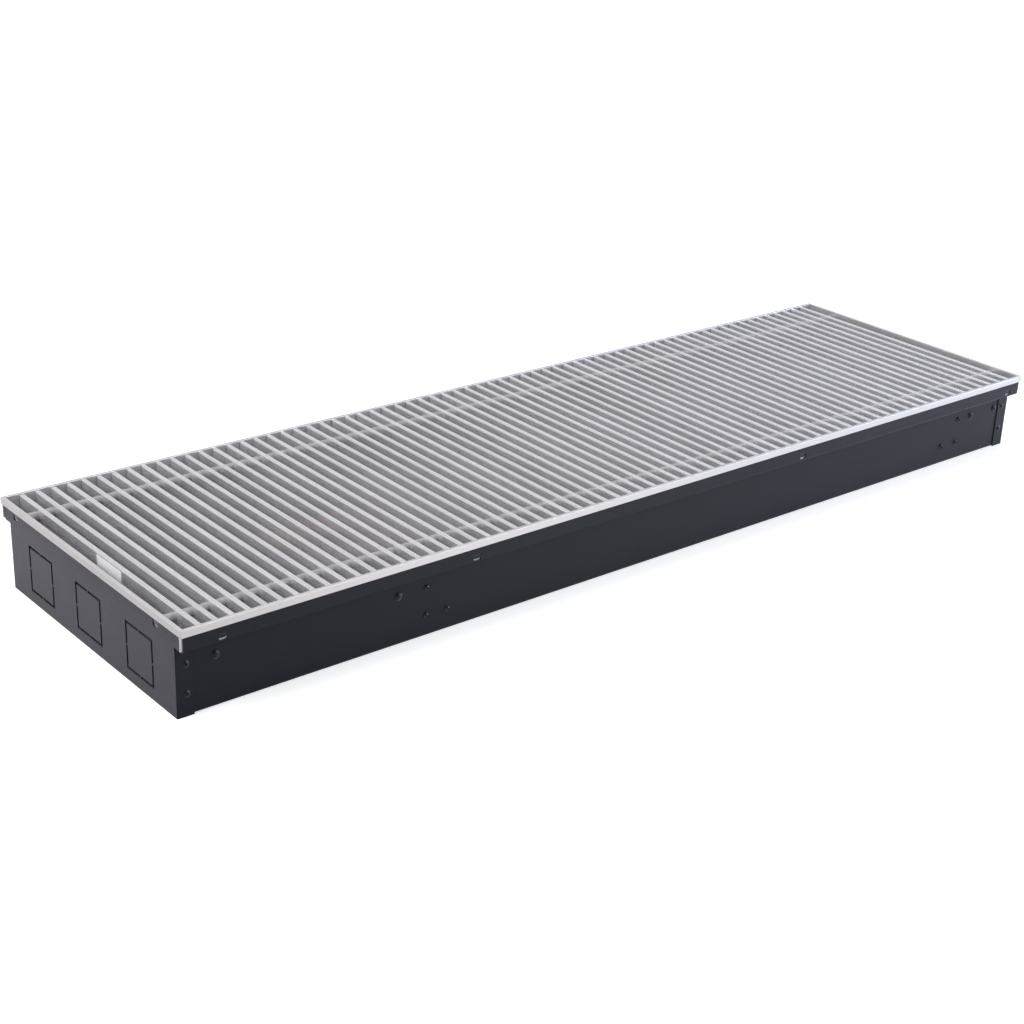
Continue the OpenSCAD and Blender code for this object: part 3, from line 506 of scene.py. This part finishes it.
ZINC_BLUE = (0.60, 0.62, 0.66, 1)
ZINC_STRAW = (0.70, 0.67, 0.58, 1)
ZINC_BRIGHT = (0.74, 0.76, 0.79, 1)
PATCHES_PER_METRE = 70.0
SPANGLES_PER_METRE = 420.0
ZINC_RELIEF = 0.00003


def zinc_plate():
    """Bluish zinc with straw patches and a fine spangle."""
    finish, tree, shader, place = new_finish("passivated zinc")
    patches = noise(tree, place, PATCHES_PER_METRE, 4.0, 0.6)
    spangle = put(tree, "ShaderNodeTexVoronoi", Vector=place, Scale=SPANGLES_PER_METRE).outputs["Distance"]
    base = tinted(tree, ZINC_BLUE, ZINC_STRAW, spread(tree, patches, 0.4, 0.7, 0, 0.7))
    base = tinted(tree, base, ZINC_BRIGHT, maths(tree, "MULTIPLY", spangle, 0.35))
    tree.links.new(base, shader.inputs["Base Color"])
    tree.links.new(spread(tree, patches, 0.3, 0.7, 0.25, 0.42), shader.inputs["Roughness"])
    shader.inputs["Metallic"].default_value = 1.0
    raised(tree, shader, maths(tree, "MULTIPLY", spangle, 0.4), ZINC_RELIEF)
    return finish


zinc = zinc_plate()
LEVEL_CORNERS = range(1, 5)
dress(zinc, "exchanger_bracket_left", "exchanger_bracket_right", "bleed_screw",
      *[f"levelling_bracket_{i}" for i in LEVEL_CORNERS])

# --- Levelling screws ---------------------------------------------------------------------------------
# M8 grub screws of zinc plated steel with a rolled thread. The turned tip sits in the pad's socket,
# and a screwdriver turns the slot in the top through the open grille.

SCREW_PITCH = 0.00125
SCREW_THREAD_DEPTH = 0.0006
SCREW_CHAMFER = 0.0008
SCREW_TIP_R = 0.0025
SCREW_TIP_L = 0.003
SCREW_TIP_CHAMFER = 0.0004
SCREW_SLOT_W = 0.0014
SCREW_SLOT_H = 0.002
SCREW_SLOT_CUT_L = 0.02
SCREW_STEPS = 32
RINGS_PER_PITCH = 8
THREAD_CREST_SHARE = 0.12
THREAD_FLANK_SHARE = 0.74
SHARP_FROM_DEGREES = 32


def add_lathed(form, centre, rings, steps, hollow=False):
    """Adds a solid round a vertical axis. A ring is a height and a radius, which may follow the turn."""
    loops = []
    for height, radius in rings:
        loop = []
        for step in range(steps):
            turn = math.tau * step / steps
            reach = radius(turn) if callable(radius) else radius
            across = centre.x + reach * math.cos(turn)
            along = centre.y + reach * math.sin(turn)
            loop.append(form.verts.new((across, along, height)))
        loops.append(loop)
    for lower, upper in zip(loops, loops[1:] + loops[:1] if hollow else loops[1:]):
        for step in range(steps):
            after = (step + 1) % steps
            form.faces.new((lower[step], lower[after], upper[after], upper[step]))
    if not hollow:
        form.faces.new(loops[0][::-1])
        form.faces.new(loops[-1])


def finished_piece(name, form, finish):
    """The object made of that form, smooth where it is round."""
    mesh = bpy.data.meshes.new(name)
    form.to_mesh(mesh)
    form.free()
    mesh.shade_smooth()
    mesh.set_sharp_from_angle(angle=math.radians(SHARP_FROM_DEGREES))
    mesh.materials.append(finish)
    piece = bpy.data.objects.new(name, mesh)
    bpy.context.scene.collection.objects.link(piece)
    return piece


def thread_at(height, bottom, top, crest):
    """The radius by turn at one height of a thread with chamfered ends."""
    limit = crest - max(0, SCREW_CHAMFER - (height - bottom), SCREW_CHAMFER - (top - height))

    def radius(turn):
        across = abs(2 * ((height / SCREW_PITCH - turn / math.tau) % 1) - 1)
        cut = min(max((across - THREAD_CREST_SHARE) / THREAD_FLANK_SHARE, 0), 1)
        return min(crest - SCREW_THREAD_DEPTH * cut, limit)

    return radius


def cut_slot(piece, centre, top):
    """Cuts the screwdriver slot across the top."""
    bpy.ops.mesh.primitive_cube_add(size=1, location=(centre.x, centre.y, top))
    cutter = bpy.context.object
    cutter.scale = (SCREW_SLOT_CUT_L, SCREW_SLOT_W, 2 * SCREW_SLOT_H)
    slot = piece.modifiers.new("slot", "BOOLEAN")
    slot.operation = "DIFFERENCE"
    slot.object = cutter
    bpy.context.view_layer.objects.active = piece
    bpy.ops.object.modifier_apply(modifier="slot")
    bpy.data.objects.remove(cutter)


def levelling_screw(node):
    """The threaded and slotted screw in the place of that CAD node."""
    low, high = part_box(node)
    centre = (low + high) / 2
    crest = (high.x - low.x) / 2
    shoulder = low.z + SCREW_TIP_L
    rings = [(low.z, SCREW_TIP_R - SCREW_TIP_CHAMFER), (low.z + SCREW_TIP_CHAMFER, SCREW_TIP_R)]
    rings.append((shoulder, SCREW_TIP_R))
    count = round((high.z - shoulder) / SCREW_PITCH * RINGS_PER_PITCH)
    for ring in range(count + 1):
        height = shoulder + (high.z - shoulder) * ring / count
        rings.append((height, thread_at(height, shoulder, high.z, crest)))
    form = bmesh.new()
    add_lathed(form, centre, rings, SCREW_STEPS)
    piece = finished_piece(f"threaded_{node}", form, zinc)
    cut_slot(piece, centre, high.z)
    return piece


for i in LEVEL_CORNERS:
    threaded = levelling_screw(f"levelling_screw_{i}")
    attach(threaded, f"levelling_screw_{i}")
    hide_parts(f"levelling_screw_{i}")

# --- Nuts ---------------------------------------------------------------------------------------------
# Hexagon nuts of zinc plated steel, projection welded on the bracket plates. Their corners are
# chamfered at 30 degrees on the upper face, as on any cold formed nut.

NUT_STEPS = 48
NUT_FACE_SHARE = 0.98
NUT_CHAMFER_SLOPE = math.tan(math.radians(30))
NUT_CHAMFER_RINGS = (0.0008, 0.0006, 0.00045, 0.0003, 0.00015, 0)
NUT_BORE_R = 0.00415
NUT_BORE_CHAMFER = 0.0005


def nut_side(flat_r, below_top):
    """The radius by turn of a hexagon, that far below a face with chamfered corners."""

    def radius(turn):
        past_flat = turn % (math.pi / 3) - math.pi / 6
        return min(flat_r / math.cos(past_flat), flat_r * NUT_FACE_SHARE + below_top / NUT_CHAMFER_SLOPE)

    return radius


def welded_nuts():
    """The four nuts in one piece, each round its levelling screw."""
    low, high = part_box("levelling_nuts")
    form = bmesh.new()
    for i in LEVEL_CORNERS:
        screw_low, screw_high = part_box(f"levelling_screw_{i}")
        centre = (screw_low + screw_high) / 2
        flat_r = high.y - abs(centre.y)
        rings = [(low.z, nut_side(flat_r, high.z - low.z))]
        rings += [(high.z - below_top, nut_side(flat_r, below_top)) for below_top in NUT_CHAMFER_RINGS]
        rings += [(high.z, NUT_BORE_R + NUT_BORE_CHAMFER), (high.z - NUT_BORE_CHAMFER, NUT_BORE_R)]
        rings += [(low.z + NUT_BORE_CHAMFER, NUT_BORE_R), (low.z, NUT_BORE_R + NUT_BORE_CHAMFER)]
        add_lathed(form, centre, rings, NUT_STEPS, hollow=True)
    return finished_piece("chamfered_nuts", form, zinc)


nuts = welded_nuts()
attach(nuts, "trough")
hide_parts("levelling_nuts")

# --- Pads ---------------------------------------------------------------------------------------------
# Moulded black nylon feet under the levelling screws. They stand on the raw floor and don't turn.

NYLON_BLACK = (0.02, 0.02, 0.021, 1)
NYLON_WORN = (0.05, 0.05, 0.053, 1)
NYLON_FLOW_PER_METRE = 300.0
NYLON_GRAIN_PER_METRE = 1500.0
NYLON_RELIEF = 0.00003


def nylon_finish():
    """Black nylon, greyer where it has rubbed."""
    finish, tree, shader, place = new_finish("black nylon")
    flow = noise(tree, place, NYLON_FLOW_PER_METRE, 4.0, 0.6)
    worn = spread(tree, flow, 0.35, 0.7, 0, 1)
    tree.links.new(tinted(tree, NYLON_BLACK, NYLON_WORN, worn), shader.inputs["Base Color"])
    tree.links.new(spread(tree, flow, 0.3, 0.7, 0.4, 0.58), shader.inputs["Roughness"])
    raised(tree, shader, noise(tree, place, NYLON_GRAIN_PER_METRE, 2.0), NYLON_RELIEF)
    return finish


dress(nylon_finish(), *[f"levelling_pad_{i}" for i in LEVEL_CORNERS])

# --- Studio -------------------------------------------------------------------------------------------
# A pale floor that runs out of sight and a white surround. What a gloss sees of them is less even. The floor
# glows to a gloss with painted light: a painted shadow of the trough close beside it, painted shade over the
# left half and a painted daylight tint to the right. In the surround, the camera's side of the room is dim,
# and daylight comes in low from the right.

FLOOR_SIZE = 12.0
FLOOR_COLOUR = (0.86, 0.86, 0.87, 1)
FLOOR_ROUGHNESS = 0.9
FLOOR_SHINE = 0.1
FLOOR_GLOW = 0.5
# Painted shadow and painted shade on the floor, seen only in a gloss: how far the trough's shadow reaches and
# how dim the left is.
FOOTPRINT = (0.50, 0.137)
TROUGH_HEIGHT = 0.075
SKY_AT_THE_WALL = 0.5
LEFT_SPAN = (-0.52, -0.2)
LEFT_LEVEL = 0.62
DAYLIGHT_SPAN = (-0.2, 0.6)
# Painted daylight tint of the floor in a gloss: warm on the left, cool towards the right.
PAINTED_WARM_TINT = (1, 0.96, 0.99, 1)
PAINTED_DAYLIGHT_TINT = (0.97, 0.98, 1.04, 1)


def floor_in_gloss(tree, place):
    """Painted shade and daylight tint of the floor at that place, as a gloss sees it: colour and level."""
    spot = put(tree, "ShaderNodeSeparateXYZ", Vector=place)
    past_end, past_side = [
        maths(tree, "MAXIMUM", maths(tree, "SUBTRACT", maths(tree, "ABSOLUTE", spot.outputs[axis]), reach))
        for axis, reach in zip("XY", FOOTPRINT)]
    squares = maths(tree, "ADD", maths(tree, "POWER", past_end, 2), maths(tree, "POWER", past_side, 2))
    off = maths(tree, "SQRT", squares)
    slope = maths(tree, "SQRT", maths(tree, "ADD", maths(tree, "POWER", off, 2), TROUGH_HEIGHT ** 2))
    # Painted shadow of the trough on the floor close beside it.
    open_sky = spread(tree, maths(tree, "DIVIDE", off, slope), 0, 1, SKY_AT_THE_WALL, 1)
    # Painted shade over the left half of the floor.
    dimmer_left = spread(tree, spot.outputs["X"], *LEFT_SPAN, LEFT_LEVEL, 1)
    # Painted daylight tint of the floor towards the right.
    daylight = spread(tree, spot.outputs["X"], *DAYLIGHT_SPAN, 0, 1)
    colour = tinted(tree, PAINTED_WARM_TINT, PAINTED_DAYLIGHT_TINT, daylight)
    return colour, maths(tree, "MULTIPLY", open_sky, dimmer_left)


def lit_floor():
    """The floor's material: white to the camera, painted shade and daylight in a gloss, pale grey to all
    other light.
    """
    finish, tree, shader, place = new_finish("pale floor")
    shader.inputs["Base Color"].default_value = FLOOR_COLOUR
    shader.inputs["Roughness"].default_value = FLOOR_ROUGHNESS
    shader.inputs["Specular IOR Level"].default_value = FLOOR_SHINE
    glow = put(tree, "ShaderNodeEmission", Color=(1, 1, 1, 1), Strength=FLOOR_GLOW)
    seen_white = put(tree, "ShaderNodeAddShader", i0=shader.outputs[0], i1=glow.outputs[0])
    # The floor glows to a gloss with its painted shade and painted daylight tint.
    colour, level = floor_in_gloss(tree, place)
    seen_in_gloss = put(tree, "ShaderNodeEmission", Color=colour, Strength=level)
    path = put(tree, "ShaderNodeLightPath")
    mixed = put(tree, "ShaderNodeMixShader", Fac=path.outputs["Is Glossy Ray"], i1=shader.outputs[0],
                i2=seen_in_gloss.outputs[0])
    mixed = put(tree, "ShaderNodeMixShader", Fac=path.outputs["Is Camera Ray"], i1=mixed.outputs[0],
                i2=seen_white.outputs[0])
    tree.links.new(mixed.outputs[0], tree.nodes["Material Output"].inputs["Surface"])
    return finish


bpy.ops.mesh.primitive_plane_add(size=FLOOR_SIZE)
floor = bpy.context.object
floor.name = "studio_floor"
floor.data.materials.append(lit_floor())

SURROUND = 0.58
HORIZON_IN_GLOSS = 0.74
CEILING_IN_GLOSS = 0.41
HORIZON_SPAN = (0.28, 0.46)
DIM_SIDE_LEVEL = 0.18
DIM_SIDE_SPAN = (-0.75, -0.4)
DAYLIGHT_SIDE_SPAN = (0.5, 0.95)
DAYLIGHT = (0.70, 0.77, 0.92, 1)


def room_in_gloss(tree):
    """The surround as a gloss sees it: colour and level by direction."""
    way = put(tree, "ShaderNodeSeparateXYZ", Vector=tree.nodes.new("ShaderNodeTexCoord").outputs["Generated"])
    level = spread(tree, way.outputs["Z"], *HORIZON_SPAN, HORIZON_IN_GLOSS, CEILING_IN_GLOSS)
    level = maths(tree, "MULTIPLY", level, spread(tree, way.outputs["Y"], *DIM_SIDE_SPAN, DIM_SIDE_LEVEL, 1))
    daylight = spread(tree, way.outputs["X"], *DAYLIGHT_SIDE_SPAN, 0, 1)
    grey = put(tree, "ShaderNodeCombineXYZ", X=level, Y=level, Z=level).outputs[0]
    return tinted(tree, grey, DAYLIGHT, daylight)


world = bpy.data.worlds.new("white surround")
bpy.context.scene.world = world
world.use_nodes = True
sky = world.node_tree
background = sky.nodes["Background"]
background.inputs["Color"].default_value = (1, 1, 1, 1)
background.inputs["Strength"].default_value = SURROUND
white = put(sky, "ShaderNodeBackground", Color=(1, 1, 1, 1), Strength=1.0)
gloss = put(sky, "ShaderNodeBackground", Color=room_in_gloss(sky), Strength=1.0)
path = put(sky, "ShaderNodeLightPath")
mixed = put(sky, "ShaderNodeMixShader", Fac=path.outputs["Is Glossy Ray"],
            i1=background.outputs[0], i2=gloss.outputs[0])
mixed = put(sky, "ShaderNodeMixShader", Fac=path.outputs["Is Camera Ray"],
            i1=mixed.outputs[0], i2=white.outputs[0])
sky.links.new(mixed.outputs[0], sky.nodes["World Output"].inputs["Surface"])


def hang_lamp(name, place, target, size, power, colour=(1, 1, 1)):
    """A rectangular soft lamp of that size and power in watts, which looks from place at target."""
    lamp = bpy.data.lights.new(name, "AREA")
    lamp.shape = "RECTANGLE"
    lamp.size, lamp.size_y = size
    lamp.energy = power
    lamp.color = colour
    holder = bpy.data.objects.new(name, lamp)
    bpy.context.scene.collection.objects.link(holder)
    holder.location = place
    aim = Vector(target) - holder.location
    holder.rotation_euler = aim.to_track_quat("-Z", "Y").to_euler()


hang_lamp("overhead softbox", place=(-0.2, 0.4, 2.4), target=(0, 0, 0), size=(1.6, 1.2), power=18)
hang_lamp("left softbox", place=(-2.1, 0.25, 1.5), target=(-0.4, 0, 0), size=(1.2, 1.0), power=27)
hang_lamp("window on the right", place=(2.3, -1.3, 0.4), target=(0.4, -0.1, 0), size=(1.2, 0.7),
          power=19, colour=(0.58, 0.72, 1))
hang_lamp("front softbox", place=(1.4, -2.1, 1.6), target=(0.15, 0, 0.05), size=(1.4, 1.0),
          power=20, colour=(0.92, 0.95, 1))

# --- Camera -------------------------------------------------------------------------------------------
# It looks down on the front left corner, through a lens of 65 mm. Its place and turn were solved from
# the corners of the rim, the slats and the trough's lower edges.

CAMERA_PLACE = (-1.09096, -1.21543, 0.71349)
CAMERA_TURN_DEGREES = (66.158, -2.129, -39.256)
SENSOR_MM = 36
LENS_MM = 65.016

camera_data = bpy.data.cameras.new("camera")
camera = bpy.data.objects.new("camera", camera_data)
bpy.context.scene.collection.objects.link(camera)
camera.location = CAMERA_PLACE
camera.rotation_euler = [math.radians(angle) for angle in CAMERA_TURN_DEGREES]
camera_data.sensor_fit = "HORIZONTAL"
camera_data.sensor_width = SENSOR_MM
camera_data.lens = LENS_MM
bpy.context.scene.camera = camera
bpy.context.scene.view_settings.view_transform = "Standard"
